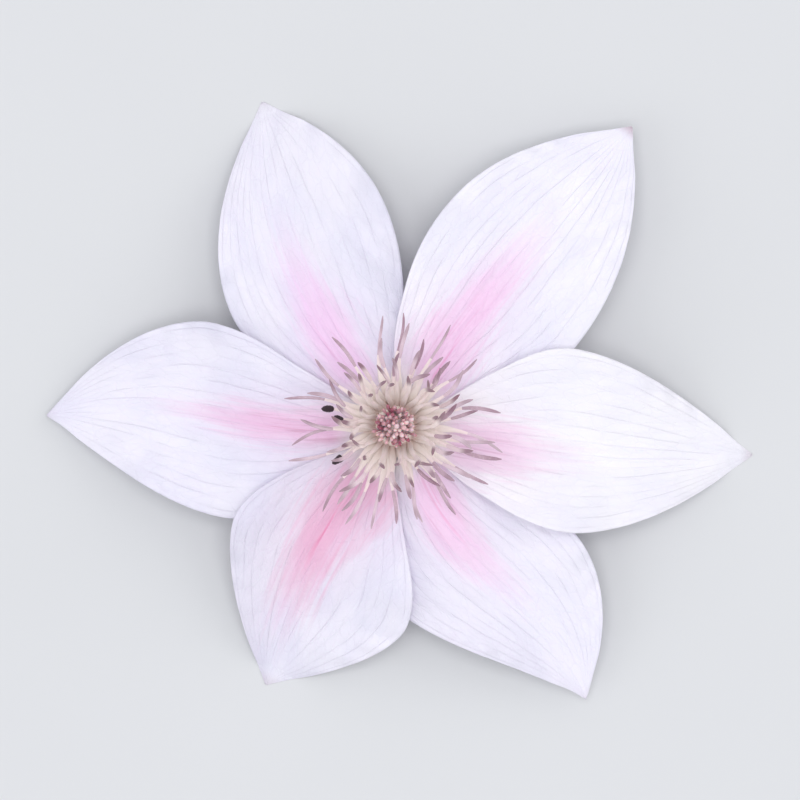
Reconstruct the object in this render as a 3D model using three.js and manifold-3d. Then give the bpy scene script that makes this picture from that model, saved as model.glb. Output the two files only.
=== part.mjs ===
// A picked bloom of a large-flowered climbing clematis, lying face up on a surface: a bent stalk that swells
// into the receptacle, six broad pointed sepals, a spreading brush of stamens and a central tuft of styles.
// Units are millimetres. The flower's axis points up, along +Z, and the surface it lies on is z = 0. The
// origin is on that surface, under the middle of the flower's box.
import * as THREE from "three";
import { mergeVertices } from "three/addons/utils/BufferGeometryUtils.js";
import Module from "manifold-3d";

const wasm = await Module();
wasm.setup();

// ---- Driving dimensions -------------------------------------------------------------------------------

const AXIS_HEIGHT = 14; // height of the sepals' roots above the surface
const CLEARANCE = 0.3; // gap between pieces that grow side by side

// Heights here and below are measured from the sepals' roots, and radii from the flower's axis.
const RECEPTACLE = { radius: 4.2, top: 0.6, edge: 0.5, skirt: -1.4, neck: -5, neckRadius: 1.5, sides: 20 };

const STALK_RADIUS = 1.15;
const STALK_SIDES = 10;
const STALK_STEPS = 22;
const STALK_DIRECTION = -57; // degrees: the stalk lies under the lower right sepal
const CUT_SLANT = 0.8;
const STALK_LIE = STALK_RADIUS - AXIS_HEIGHT; // centre height of the stretch that lies on the surface
// The stalk's centre line, as [out along its direction, sideways, height], from the receptacle to the cut.
const STALK_ROUTE = [
  [0, 0, -4], [0.4, 0, -7], [2.9, 0.1, -10.7], [7.4, 0.4, STALK_LIE + 0.75], [13, 0.9, STALK_LIE],
  [22, 1.4, STALK_LIE], [34, 0.6, STALK_LIE], [47, -2.2, STALK_LIE],
];

const SEPAL_THICKNESS = 0.66;
const SEPAL_ROOT_HALF_WIDTH = 1.9;
const SEPAL_TIP_HALF_WIDTH = 0.35;
const SEPAL_STEPS = 18; // rows of the blade from root to tip
const RIB_OFFSET = 0.13; // place of the two side ribs, as a share of the half width
const RIB_RELIEF = 0.3;
const SEPAL_COLUMNS = [1, 0.78, 0.5, 0.24, RIB_OFFSET, RIB_OFFSET / 2]; // places across, as shares too
const WAVE = { count: 2.6, nearRoot: 0.25, nearTip: 1.1 }; // waves of the margin, and their heights

// Each sepal: the direction and reach of its tip, how its midrib bows towards the counter-clockwise side
// (near the root, near the tip), the slopes it leaves the root and ends with, the height of its tip over
// the surface (below it where the tip lies flat), and where its margin's waves start.
// Each side of the blade: half width and where along the midrib it is widest, how slowly it widens from the
// root, how full the outline stays towards the tip, and how high the margin lies against the midrib, near
// the root (over or under its neighbour) and further out.
const SEPALS = [
  {
    angle: 112.3, reach: 63.8, bow: [6.5, 6.5], slopes: [0.16, -0.34], tipHeight: -1.2, ripple: 0.4,
    ccw: { width: 13.4, widest: 29, taper: 1.05, fullness: 1.9, rootLift: -1.0, outerLift: 4.2 },
    cw: { width: 20.0, widest: 36, taper: 0.94, fullness: 2.1, rootLift: -1.4, outerLift: 1.4 },
  },
  {
    angle: 51.6, reach: 69.2, bow: [3.0, 0.5], slopes: [0.2, 0.02], tipHeight: 6.5, ripple: 1.9,
    ccw: { width: 15.7, widest: 38, taper: 0.84, fullness: 2.05, rootLift: 2.8, outerLift: 1.2 },
    cw: { width: 18.6, widest: 31, taper: 1.15, fullness: 2.1, rootLift: -1.2, outerLift: 3.4 },
  },
  {
    angle: -4.7, reach: 65.4, bow: [-2.0, -3.0], slopes: [0.22, -0.36], tipHeight: -1.7, ripple: 3.1,
    ccw: { width: 18.9, widest: 31, taper: 1.15, fullness: 1.75, rootLift: 3.0, outerLift: 2.2 },
    cw: { width: 14.2, widest: 33, taper: 1.0, fullness: 1.65, rootLift: 3.2, outerLift: 3.6 },
  },
  {
    angle: -55, reach: 60.6, bow: [-6.5, 4.5], slopes: [0.1, -0.16], tipHeight: 3.6, ripple: 4.6,
    ccw: { width: 16.2, widest: 33, taper: 1.05, fullness: 1.8, rootLift: -1.2, outerLift: 2.4 },
    cw: { width: 16.8, widest: 28, taper: 1.05, fullness: 1.6, rootLift: -1.2, outerLift: 2.8 },
  },
  {
    angle: 243.5, reach: 52.8, bow: [-2.3, -3.0], slopes: [0.24, -0.55], tipHeight: -2.0, ripple: 0.9,
    ccw: { width: 20.8, widest: 32, taper: 1.3, fullness: 1.65, rootLift: 3.2, outerLift: 1.6 },
    cw: { width: 16.0, widest: 27, taper: 1.1, fullness: 1.5, rootLift: 3.0, outerLift: 4.6 },
  },
  {
    angle: 178.3, reach: 63.4, bow: [4.0, -5.0], slopes: [0.16, -0.2], tipHeight: 2.2, ripple: 2.6,
    ccw: { width: 17.5, widest: 31, taper: 1.05, fullness: 1.9, rootLift: -1.2, outerLift: 2.6 },
    cw: { width: 17.2, widest: 34, taper: 1.05, fullness: 1.65, rootLift: 2.8, outerLift: 1.8 },
  },
];

// Stamens stand in tiers round a ring. The outermost lean far out and the innermost stand nearly upright.
const STAMEN_TIERS = 5;
const STAMENS_PER_TIER = 18;
const STAMEN_SIDES = 4;
const STAMEN_RING = { inner: 2.6, outer: 4.3, bottom: 0.9, top: 4.4, sides: 30 };
const STAMEN_ROOT_RADIUS = 3.5;
const TIER_TWIST = 0.4; // turn of each tier against the one below, as a share of the spacing
const STAMEN_STRAY = 0.3; // how far a stamen strays from its place in the tier, as such a share too
const STAMEN_UNEVENNESS = 0.06; // share by which reach and height vary
const STAMEN_SWAY = 1.6; // how far a tip leans sideways at most
const OUTER_STAMEN = { rootHeight: 1.8, tipRadius: 20.8, tipHeight: 9.8 };
const INNER_STAMEN = { rootHeight: 4.0, tipRadius: 8.0, tipHeight: 19.8 };
// Radius of a stamen at shares of its length: a slender filament, then the long, slightly thicker anther.
const STAMEN_PROFILE = [
  [0, 0.4], [0.28, 0.36], [0.6, 0.32], [0.66, 0.43], [0.8, 0.46], [0.93, 0.4], [1, 0.16],
];

const STYLE_COUNT = 30;
const STYLE_SIDES = 4;
const STYLE_CORE = { radius: 2.2, bottom: 0.9, top: 5.4, sides: 20 };
const STYLE_TIP = { height: 11.8, spread: 3.6 };
const STYLE_PROFILE = [
  [0, 0.4], [0.4, 0.36], [0.75, 0.33], [1, 0.2],
];

// ---- Helpers ------------------------------------------------------------------------------------------

const GOLDEN_ANGLE = Math.PI * (3 - Math.sqrt(5));
const lerp = THREE.MathUtils.lerp;
const smoothstep = (x, low, high) => THREE.MathUtils.smoothstep(x, low, high);

// A repeatable random number from -1 to 1 for piece i and purpose k.
function jitter(i, k) {
  const x = Math.sin(i * 12.9898 + k * 78.233) * 43758.5453;
  return 2 * (x - Math.floor(x)) - 1;
}

// A closed surface as a manifold-3d solid.
function toSolid(geometry) {
  geometry.deleteAttribute("normal");
  geometry.deleteAttribute("uv");
  const merged = mergeVertices(geometry, 1e-4);
  return new wasm.Manifold(
    new wasm.Mesh({
      numProp: 3,
      vertProperties: merged.attributes.position.array,
      triVerts: new Uint32Array(merged.index.array),
    }),
  );
}

// A manifold-3d solid as a geometry that three.js can draw.
function toGeometry(solid) {
  const { vertProperties, triVerts } = solid.getMesh();
  const geometry = new THREE.BufferGeometry();
  geometry.setAttribute("position", new THREE.BufferAttribute(vertProperties, 3));
  geometry.setIndex(new THREE.BufferAttribute(triVerts, 1));
  geometry.computeVertexNormals();
  return geometry;
}

// A closed tube along a curve, made by bending a cylinder. The profile lists [share of length, radius],
// sideways is the direction that its sections keep to, and slant tilts the end face, as a slanting cut does.
function bentTube(curve, profile, sides, sideways, slant = 0) {
  const rings = profile.length - 1;
  const tube = new THREE.CylinderGeometry(1, 1, 1, sides, rings, false, Math.PI / sides);
  const position = tube.attributes.position;
  for (let i = 0; i < position.count; i++) {
    const ring = Math.round((position.getY(i) + 0.5) * rings);
    const [share, radius] = profile[ring];
    const flatRadius = radius / Math.cos(Math.PI / sides);
    const tangent = curve.getTangentAt(share);
    const side = sideways.clone().addScaledVector(tangent, -sideways.dot(tangent)).normalize();
    const up = side.clone().cross(tangent);
    const alongSlant = ring === rings ? slant * radius * position.getZ(i) : 0;
    const point = curve
      .getPointAt(share)
      .addScaledVector(side, flatRadius * position.getX(i))
      .addScaledVector(up, flatRadius * position.getZ(i))
      .addScaledVector(tangent, alongSlant);
    position.setXYZ(i, point.x, point.y, point.z);
  }
  return tube;
}

// ---- Stalk and receptacle -------------------------------------------------------------------------------

// The stalk drops from the receptacle, bends and lies along the surface to its cut end.
function stalkGeometry() {
  const { radius, top, edge, skirt, neck, neckRadius, sides } = RECEPTACLE;
  const receptacle = new THREE.LatheGeometry(
    [
      new THREE.Vector2(0, neck - 1),
      new THREE.Vector2(STALK_RADIUS * 0.9, neck - 1),
      new THREE.Vector2(neckRadius, neck),
      new THREE.Vector2(neckRadius * 1.4, lerp(neck, skirt, 0.5)),
      new THREE.Vector2(radius * 0.8, skirt * 1.3),
      new THREE.Vector2(radius, skirt * 0.6),
      new THREE.Vector2(radius, top - edge),
      new THREE.Vector2(radius - edge, top),
      new THREE.Vector2(0, top),
    ],
    sides,
  );
  receptacle.rotateX(Math.PI / 2);

  const points = STALK_ROUTE.map((point) => new THREE.Vector3(...point));
  const route = new THREE.CatmullRomCurve3(points, false, "centripetal");
  const profile = [];
  for (let ring = 0; ring <= STALK_STEPS; ring++) profile.push([ring / STALK_STEPS, STALK_RADIUS]);
  const stem = bentTube(route, profile, STALK_SIDES, new THREE.Vector3(0, 1, 0), CUT_SLANT);
  const position = stem.attributes.position;
  for (let i = 0; i < position.count; i++) position.setZ(i, Math.max(position.getZ(i), -AXIS_HEIGHT));
  stem.rotateZ(THREE.MathUtils.degToRad(STALK_DIRECTION));
  return toGeometry(toSolid(receptacle).add(toSolid(stem)));
}

// ---- Sepals ---------------------------------------------------------------------------------------------

// Half width of one side of a blade at a distance along the midrib.
function halfWidth(side, along, root, reach) {
  const { width, widest, taper, fullness } = side;
  if (along < widest) {
    const share = (along - root) / (widest - root);
    return lerp(SEPAL_ROOT_HALF_WIDTH, width, Math.sin((share ** taper * Math.PI) / 2));
  }
  const share = (along - widest) / (reach - widest);
  return lerp(SEPAL_TIP_HALF_WIDTH, width, 1 - share ** fullness);
}

// Height of the midrib: a smooth arch that leaves the root and meets the tip with the given slopes.
function midribHeight(sepal, s, length) {
  const [leave, meet] = sepal.slopes;
  const drop = sepal.tipHeight - AXIS_HEIGHT;
  const slopeParts = leave * (s ** 3 - 2 * s ** 2 + s) + meet * (s ** 3 - s ** 2);
  return drop * (3 * s ** 2 - 2 * s ** 3) + slopeParts * length;
}

// The middle of the blade at share s from root to tip and t across, from -1 (clockwise margin) to 1.
// The sepal points along +X from the flower's axis.
function sepalPoint(sepal, s, t) {
  const root = RECEPTACLE.radius + CLEARANCE;
  const length = sepal.reach - root;
  const along = root + s * length;
  const side = t > 0 ? sepal.ccw : sepal.cw;
  const width = halfWidth(side, along, root, sepal.reach);
  const fullness = width / side.width;
  const bow = 4 * s * (1 - s) * lerp(sepal.bow[0], sepal.bow[1], s);

  const lift = lerp(side.rootLift, side.outerLift, smoothstep(s, 0.4, 0.8)) * fullness * Math.abs(t) ** 1.4;
  const waveHeight = lerp(WAVE.nearRoot, WAVE.nearTip, smoothstep(s, 0.35, 0.6)) * fullness * t * t;
  const wave = waveHeight * Math.sin(2 * Math.PI * WAVE.count * s + sepal.ripple + t);
  const onRib = t === 0 || Math.abs(t) === RIB_OFFSET;
  const rib = onRib ? RIB_RELIEF * (1 - smoothstep(s, 0.55, 0.95)) : 0;
  return new THREE.Vector3(along, bow + t * width, midribHeight(sepal, s, length) + lift + wave + rib);
}

// A thin closed blade. Both faces share one pattern of triangles, so they never cross, and a blade that
// reaches the surface flattens there.
function sepalGeometry(sepal) {
  const across = [...SEPAL_COLUMNS.map((t) => -t), 0, ...SEPAL_COLUMNS.toReversed()];
  const columns = across.length;
  const vertices = [];
  for (const face of [0, 1]) {
    for (let row = 0; row <= SEPAL_STEPS; row++) {
      for (const t of across) {
        const p = sepalPoint(sepal, row / SEPAL_STEPS, t);
        const underside = Math.max(p.z - SEPAL_THICKNESS / 2, -AXIS_HEIGHT);
        vertices.push(p.x, p.y, underside + face * SEPAL_THICKNESS);
      }
    }
  }
  const under = (row, column) => row * columns + column;
  const over = (row, column) => under(row + SEPAL_STEPS + 1, column);
  const tip = SEPAL_STEPS;
  const last = columns - 1;
  const triangles = [];
  const quad = (a, b, c, d) => triangles.push(a, b, c, a, c, d);
  for (let row = 0; row < tip; row++) {
    for (let column = 0; column < last; column++) {
      quad(over(row, column), over(row + 1, column), over(row + 1, column + 1), over(row, column + 1));
      const [a, b] = [under(row, column), under(row + 1, column)];
      triangles.push(a, b + 1, b, a, a + 1, b + 1);
    }
    quad(under(row, 0), under(row + 1, 0), over(row + 1, 0), over(row, 0));
    quad(over(row, last), over(row + 1, last), under(row + 1, last), under(row, last));
  }
  for (let column = 0; column < last; column++) {
    quad(under(0, column), over(0, column), over(0, column + 1), under(0, column + 1));
    quad(over(tip, column), under(tip, column), under(tip, column + 1), over(tip, column + 1));
  }
  const blade = new THREE.BufferGeometry();
  blade.setAttribute("position", new THREE.Float32BufferAttribute(vertices, 3));
  blade.setIndex(triangles);
  blade.computeVertexNormals();
  return blade;
}

// ---- Stamens --------------------------------------------------------------------------------------------

// A ring that closes on itself, with a straight inner wall.
function ringGeometry({ inner, outer, bottom, top, sides }) {
  const ring = new THREE.LatheGeometry(
    [
      new THREE.Vector2(inner, bottom),
      new THREE.Vector2(outer, bottom),
      new THREE.Vector2(outer, lerp(bottom, top, 0.45)),
      new THREE.Vector2(lerp(inner, outer, 0.6), top),
      new THREE.Vector2(inner, top),
      new THREE.Vector2(inner, bottom),
    ],
    sides,
  );
  ring.rotateX(Math.PI / 2);
  return ring;
}

function stamenGeometry(tier, place) {
  const index = tier * STAMENS_PER_TIER + place;
  const inward = (tier + 0.5 + 0.4 * jitter(index, 1)) / STAMEN_TIERS; // 0 at the outside, 1 at the inside
  const steps = place + tier * TIER_TWIST + STAMEN_STRAY * jitter(index, 2);
  const turn = (steps / STAMENS_PER_TIER) * 2 * Math.PI;
  const between = (quantity, share) => lerp(OUTER_STAMEN[quantity], INNER_STAMEN[quantity], share);
  const rootHeight = between("rootHeight", tier / (STAMEN_TIERS - 1));
  const tipRadius = between("tipRadius", inward) * (1 + STAMEN_UNEVENNESS * jitter(index, 3));
  const tipHeight = between("tipHeight", inward) * (1 + STAMEN_UNEVENNESS * jitter(index, 4));
  const sway = STAMEN_SWAY * jitter(index, 5);
  const outwards = new THREE.Vector3(Math.cos(turn), Math.sin(turn), 0);
  const sideways = new THREE.Vector3(-Math.sin(turn), Math.cos(turn), 0);
  const at = (radius, shift, height) =>
    outwards.clone().multiplyScalar(radius).addScaledVector(sideways, shift).setZ(height);
  const path = new THREE.QuadraticBezierCurve3(
    at(STAMEN_ROOT_RADIUS, 0, rootHeight),
    at(lerp(STAMEN_ROOT_RADIUS, tipRadius, 0.42), -sway * 0.4, lerp(rootHeight, tipHeight, 0.72)),
    at(tipRadius, sway, tipHeight),
  );
  return bentTube(path, STAMEN_PROFILE, STAMEN_SIDES, sideways);
}

function stamensGeometry() {
  const solids = [toSolid(ringGeometry(STAMEN_RING))];
  for (let tier = 0; tier < STAMEN_TIERS; tier++) {
    for (let place = 0; place < STAMENS_PER_TIER; place++) solids.push(toSolid(stamenGeometry(tier, place)));
  }
  return toGeometry(wasm.Manifold.union(solids));
}

// ---- Styles ---------------------------------------------------------------------------------------------

function stylesGeometry() {
  const { radius, bottom, top, sides } = STYLE_CORE;
  const core = new THREE.LatheGeometry(
    [
      new THREE.Vector2(0, bottom),
      new THREE.Vector2(radius, bottom),
      new THREE.Vector2(radius, lerp(bottom, top, 0.6)),
      new THREE.Vector2(radius * 0.8, lerp(bottom, top, 0.88)),
      new THREE.Vector2(0, top),
    ],
    sides,
  );
  core.rotateX(Math.PI / 2);
  const solids = [toSolid(core)];
  for (let i = 0; i < STYLE_COUNT; i++) {
    const outwardShare = Math.sqrt((i + 0.5) / STYLE_COUNT);
    const turn = i * GOLDEN_ANGLE;
    const outwards = new THREE.Vector3(Math.cos(turn), Math.sin(turn), 0);
    const rootRadius = outwardShare * radius * 0.82;
    const tipRadius = outwardShare * STYLE_TIP.spread;
    const tipHeight = STYLE_TIP.height * (1 - 0.14 * outwardShare ** 2 + 0.05 * jitter(i, 6));
    const path = new THREE.QuadraticBezierCurve3(
      outwards.clone().multiplyScalar(rootRadius).setZ(lerp(bottom, top, 0.5)),
      outwards.clone().multiplyScalar(rootRadius * 1.05).setZ(lerp(top, tipHeight, 0.6)),
      outwards.clone().multiplyScalar(tipRadius).setZ(tipHeight),
    );
    const sideways = new THREE.Vector3(-Math.sin(turn), Math.cos(turn), 0);
    solids.push(toSolid(bentTube(path, STYLE_PROFILE, STYLE_SIDES, sideways)));
  }
  return toGeometry(wasm.Manifold.union(solids));
}

// ---- The flower -----------------------------------------------------------------------------------------

const sepalMaterial = new THREE.MeshStandardMaterial({ color: 0xf1ecfb, roughness: 0.6, metalness: 0 });
const stamenMaterial = new THREE.MeshStandardMaterial({ color: 0xd9bfc0, roughness: 0.6, metalness: 0 });
const styleMaterial = new THREE.MeshStandardMaterial({ color: 0x9a5a6c, roughness: 0.6, metalness: 0 });
const stalkMaterial = new THREE.MeshStandardMaterial({ color: 0x7d8f52, roughness: 0.55, metalness: 0 });

// A piece of the flower head, whose own origin is on the axis at the height of the sepals' roots.
function piece(name, geometry, material) {
  const mesh = new THREE.Mesh(geometry, material);
  mesh.name = name;
  return mesh;
}

const head = new THREE.Group();
head.position.z = AXIS_HEIGHT;
head.add(piece("stalk", stalkGeometry(), stalkMaterial));
SEPALS.forEach((sepal, i) => {
  const mesh = piece(`sepal_${i + 1}`, sepalGeometry(sepal), sepalMaterial);
  mesh.rotation.z = THREE.MathUtils.degToRad(sepal.angle);
  head.add(mesh);
});
head.add(piece("stamens", stamensGeometry(), stamenMaterial));
head.add(piece("styles", stylesGeometry(), styleMaterial));

// The flower's box is centred over the origin.
const middle = new THREE.Box3().setFromObject(head, true).getCenter(new THREE.Vector3());
head.position.x = -middle.x;
head.position.y = -middle.y;

const flower = new THREE.Group();
flower.add(head);

export default flower;
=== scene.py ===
# %% [markdown]
# # A clematis flower, picked and laid face up
# The bloom has six broad pointed sepals round a spreading brush of stamens, with a tuft of styles in the
# middle and a bent stalk under it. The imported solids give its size, pose and main forms. The pieces made here
# keep those forms and add what is finer: thin ruffled blades, ribs, veins, grooved anthers, down and colour.
# The frame comes first, and its box is kept, so that the finished flower can be compared with it.

# %% Load the frame
import math

import bpy
import numpy as np
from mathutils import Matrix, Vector


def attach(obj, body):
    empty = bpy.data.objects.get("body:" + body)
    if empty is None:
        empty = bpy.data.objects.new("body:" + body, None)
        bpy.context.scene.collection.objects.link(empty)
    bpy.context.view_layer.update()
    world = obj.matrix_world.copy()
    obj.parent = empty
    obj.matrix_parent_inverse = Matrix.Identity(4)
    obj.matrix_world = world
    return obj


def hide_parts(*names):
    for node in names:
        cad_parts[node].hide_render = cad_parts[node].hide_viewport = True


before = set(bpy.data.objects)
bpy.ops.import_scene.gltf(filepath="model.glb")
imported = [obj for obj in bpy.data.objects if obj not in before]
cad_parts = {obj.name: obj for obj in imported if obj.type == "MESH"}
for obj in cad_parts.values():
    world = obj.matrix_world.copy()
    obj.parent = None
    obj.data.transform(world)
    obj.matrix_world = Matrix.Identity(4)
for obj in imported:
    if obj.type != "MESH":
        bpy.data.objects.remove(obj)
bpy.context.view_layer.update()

MM = 0.001  # the flower is measured in millimetres, and Blender works in metres
print("solids:", sorted(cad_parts))

# %% [markdown]
# The flower's axis isn't at the origin, because the origin is under the middle of the whole box. The top of
# the receptacle is a flat disc round the axis, so the middle of the stalk solid's highest corners is a point
# of the axis. All heights below are measured from the sepals' roots, which are a little under that disc.

# %% Find the flower's axis
RECEPTACLE_TOP = 0.6
FLATNESS = 0.01  # corners this near the highest one belong to the disc
stalk_corners = np.array([v.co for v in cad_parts["stalk"].data.vertices]) / MM
disc = stalk_corners[stalk_corners[:, 2] > stalk_corners[:, 2].max() - FLATNESS]
axis_x, axis_y = (disc[:, :2].max(0) + disc[:, :2].min(0)) / 2
SURFACE = -(disc[0, 2] - RECEPTACLE_TOP)  # height of the surface that the flower lies on, from the roots
HOME = np.array([axis_x, axis_y, -SURFACE])  # from the flower's own origin to the frame's
print("axis at", np.round(HOME[:2], 2), "mm, roots", round(-SURFACE, 2), "mm above the surface")

# %% [markdown]
# The camera looks straight down on the open face, as the photograph looks into the bloom, with the topmost
# sepal at the top. A long lens from over a metre away keeps the raised stamens from looking too large.

# %% Camera
VIEW_WIDTH = 146.0  # how much of the surface the picture spans, in mm
CAMERA_HEIGHT = 1150.0
SENSOR = 36.0
lens = bpy.data.cameras.new("camera")
lens.sensor_width = SENSOR
lens.lens = SENSOR * CAMERA_HEIGHT / VIEW_WIDTH
lens.clip_start, lens.clip_end = 0.01, 20
camera = bpy.data.objects.new("camera", lens)
camera.location = Vector((0, 0, CAMERA_HEIGHT)) * MM
bpy.context.scene.collection.objects.link(camera)
bpy.context.scene.camera = camera
print("lens, mm:", round(lens.lens))

# %% [markdown]
# The light is that of a bright overcast day: a pale surround from every side, one strong panel straight
# overhead, and two weaker ones that slant in from the upper right and the left. Panels much wider than the
# flower give soft shadows, and the slanting ones still show the ribs and the ruffled margins. The plain view
# transform keeps near-white petals white.

# %% Light
scene = bpy.context.scene
scene.view_settings.view_transform = "Standard"
scene.world = bpy.data.worlds.new("surround")
scene.world.use_nodes = True
surround = scene.world.node_tree.nodes["Background"]
surround.inputs["Color"].default_value = (0.93, 0.95, 1.0, 1)
surround.inputs["Strength"].default_value = 0.56


def panel(name, place, side, power, colour):
    """A square area light at a place in metres, aimed at the flower."""
    light = bpy.data.lights.new(name, "AREA")
    light.size = side
    light.energy = power
    light.color = colour
    lamp = bpy.data.objects.new(name, light)
    lamp.location = place
    lamp.rotation_euler = (-Vector(place)).to_track_quat("-Z", "Y").to_euler()
    scene.collection.objects.link(lamp)


panel("right_panel", (0.72, 0.3, 0.66), 0.9, 1.7, (1.0, 0.99, 0.975))
panel("left_panel", (-0.8, -0.35, 0.7), 0.9, 2.0, (0.97, 0.98, 1.0))
panel("top_panel", (0.0, 0.0, 1.4), 0.8, 8.8, (1.0, 1.0, 1.0))

# %% [markdown]
# Every finish below is a small graph of shader nodes. These helpers add one node at a time, so that a finish
# reads as a list of steps. A value that isn't a socket is set on the node's own input.

# %% Helpers for shader nodes


def add(tree, kind, inputs=(), **settings):
    """A shader node with its settings, its inputs set to values or joined to other nodes' sockets."""
    made = tree.nodes.new("ShaderNode" + kind)
    for name, value in settings.items():
        setattr(made, name, value)
    for socket, value in dict(inputs).items():
        if isinstance(value, bpy.types.NodeSocket):
            tree.links.new(value, made.inputs[socket])
        else:
            made.inputs[socket].default_value = value
    return made


def maths(tree, operation, *values):
    return add(tree, "Math", dict(enumerate(values)), operation=operation).outputs[0]


def times(tree, first, second):
    return maths(tree, "MULTIPLY", first, second)


def fade(tree, value, start, end, low=0.0, high=1.0):
    """A smooth change from low to high as value goes from start to end."""
    inputs = {"Value": value, "From Min": start, "From Max": end, "To Min": low, "To Max": high}
    return add(tree, "MapRange", inputs, interpolation_type="SMOOTHSTEP").outputs["Result"]


def mix(tree, share, first, second):
    """Two colours mixed by a share, through the colour sockets of a Mix node."""
    return add(tree, "Mix", {0: share, 6: first, 7: second}, data_type="RGBA").outputs[2]


print("node helpers ready")

# %% [markdown]
# A petal's pattern follows its own length and width, so a texture can be placed by values that are stored at
# the mesh's points. Where a pattern is too fine to have a direction, the piece's own place in metres will do.

# %% Helpers for textures


def stored(tree, name):
    """The three values stored together at the points under a name."""
    field = add(tree, "Attribute", attribute_name=name)
    return add(tree, "SeparateXYZ", {0: field.outputs["Vector"]}).outputs


def place_of(tree, x, y, z, scales):
    """A texture place from three values, each with its own scale."""
    scaled = [times(tree, value, scale) for value, scale in zip((x, y, z), scales)]
    return add(tree, "CombineXYZ", dict(enumerate(scaled))).outputs[0]


def noise(tree, place, scale=1.0, detail=2.0, roughness=0.5):
    inputs = {"Vector": place, "Scale": scale, "Detail": detail, "Roughness": roughness}
    return add(tree, "TexNoise", inputs).outputs["Fac"]


def body_noise(tree, scale, **settings):
    """Noise that is placed by the piece's own metres."""
    return noise(tree, add(tree, "TexCoord").outputs["Object"], scale=scale, **settings)


print("texture helpers ready")

# %% [markdown]
# Colours are written as they look on a screen and changed to the straight values that a shader needs. A
# finish starts from one plain shader with a few values set, and ends in the same way each time: a colour, and
# a fine relief as a bump. So these steps are helpers too.

# %% Helpers for finishes


def shade(red, green, blue):
    """A colour given as it looks on a screen, 0 to 255, for a shader socket."""
    levels = [c / 255 for c in (red, green, blue)]
    straight = [c / 12.92 if c <= 0.04 else ((c + 0.055) / 1.055) ** 2.4 for c in levels]
    return (*straight, 1.0)


def finish_of(name, settings):
    """A new material, its node tree and its Principled shader with some plain values set."""
    material = bpy.data.materials.new(name)
    material.use_nodes = True
    shader = material.node_tree.nodes["Principled BSDF"]
    for socket, value in settings.items():
        shader.inputs[socket].default_value = value
    return material, material.node_tree, shader


def clothe(tree, shader, colour, relief, strength, depth):
    """Joins a colour and a bump to the shader. depth is the bump's, in metres."""
    tree.links.new(colour, shader.inputs["Base Color"])
    bump = add(tree, "Bump", {"Height": relief, "Strength": strength, "Distance": depth})
    tree.links.new(bump.outputs["Normal"], shader.inputs["Normal"])


print("white on a screen is", shade(255, 255, 255)[0], "and mid grey", round(shade(128, 128, 128)[0], 2))

# %% [markdown]
# The floor is a plain pale sheet with a very faint unevenness, a shade darker than the petals so that their
# edges read against it. It isn't part of the flower. It lies a hair's breadth under the surface, because two
# faces in one plane show through each other in patches.

# %% Floor
FLOOR_HALF, FLOOR_DROP = 3.0, 0.00003  # half its width and how far it lies under the surface, in metres
floor_mesh = bpy.data.meshes.new("floor")
floor_sides = ((-1, -1), (1, -1), (1, 1), (-1, 1))
floor_corners = [(x * FLOOR_HALF, y * FLOOR_HALF, -FLOOR_DROP) for x, y in floor_sides]
floor_mesh.from_pydata(floor_corners, [], [(0, 1, 2, 3)])
floor = bpy.data.objects.new("floor", floor_mesh)
scene.collection.objects.link(floor)
floor_finish, tree, shader = finish_of("pale_floor", {"Roughness": 0.85})
floor_tone = body_noise(tree, 9.0, detail=3.0)
floor_colour = mix(tree, floor_tone, shade(214, 215, 217), shade(219, 220, 222))
tree.links.new(floor_colour, shader.inputs["Base Color"])
floor_mesh.materials.append(floor_finish)
print("floor:", 2 * FLOOR_HALF, "m across")

# %% [markdown]
# The forms are computed with arrays of points, a whole piece at a time. jitter gives the same uneven numbers
# as the solids' own source does, so that each stamen and style grows where its solid stands.

# %% Helpers for forms


def between(low, high, share):
    return low + (high - low) * share


def smoothstep(value, low, high):
    share = np.clip((value - low) / (high - low), 0, 1)
    return share * share * (3 - 2 * share)


def ridge(distance, reach):
    """1 at no distance, falling away like a bell over about its reach."""
    return np.exp(-((distance / reach) ** 2))


def jitter(i, k):
    """A repeatable uneven number from -1 to 1 for piece i and purpose k."""
    x = math.sin(i * 12.9898 + k * 78.233) * 43758.5453
    return 2 * (x - math.floor(x)) - 1


def turned(points, angle):
    """Points turned about the flower's axis by an angle in radians."""
    c, s = math.cos(angle), math.sin(angle)
    return points @ np.array([[c, s, 0], [-s, c, 0], [0, 0, 1]])


def unit(vectors):
    return vectors / np.linalg.norm(vectors, axis=-1, keepdims=True)


print("jitter of piece 1:", [round(jitter(1, k), 2) for k in range(4)])

# %% [markdown]
# A piece is made in one go from all its points and faces. It keeps named values at its points for the finish
# to read, rides on the root body and hides the solid that it replaces.

# %% Make a piece


def make_piece(name, points, faces, finishes, replaced, labels, face_finish=None):
    """A mesh piece from points in the flower's own millimetres, with named values at its points."""
    mesh = bpy.data.meshes.new(name)
    mesh.from_pydata(((points + HOME) * MM).tolist(), [], faces)
    for label, values in labels.items():
        kind, part = ("FLOAT_VECTOR", "vector") if values.ndim == 2 else ("FLOAT", "value")
        field = mesh.attributes.new(label, kind, "POINT")
        field.data.foreach_set(part, values.astype(np.float32).ravel())
    for finish in finishes:
        mesh.materials.append(finish)
    if face_finish is not None:
        mesh.polygons.foreach_set("material_index", np.asarray(face_finish, np.int32))
    mesh.polygons.foreach_set("use_smooth", np.ones(len(mesh.polygons), bool))
    mesh.update()
    piece = bpy.data.objects.new(name, mesh)
    scene.collection.objects.link(piece)
    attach(piece, "root")
    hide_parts(replaced)
    lowest = float(points[:, 2].min() - SURFACE)
    print(name, "has", len(mesh.polygons), "faces; lowest point", round(lowest, 3), "mm")


print("pieces are moved by", np.round(HOME, 2), "mm from the flower's own origin")

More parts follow.
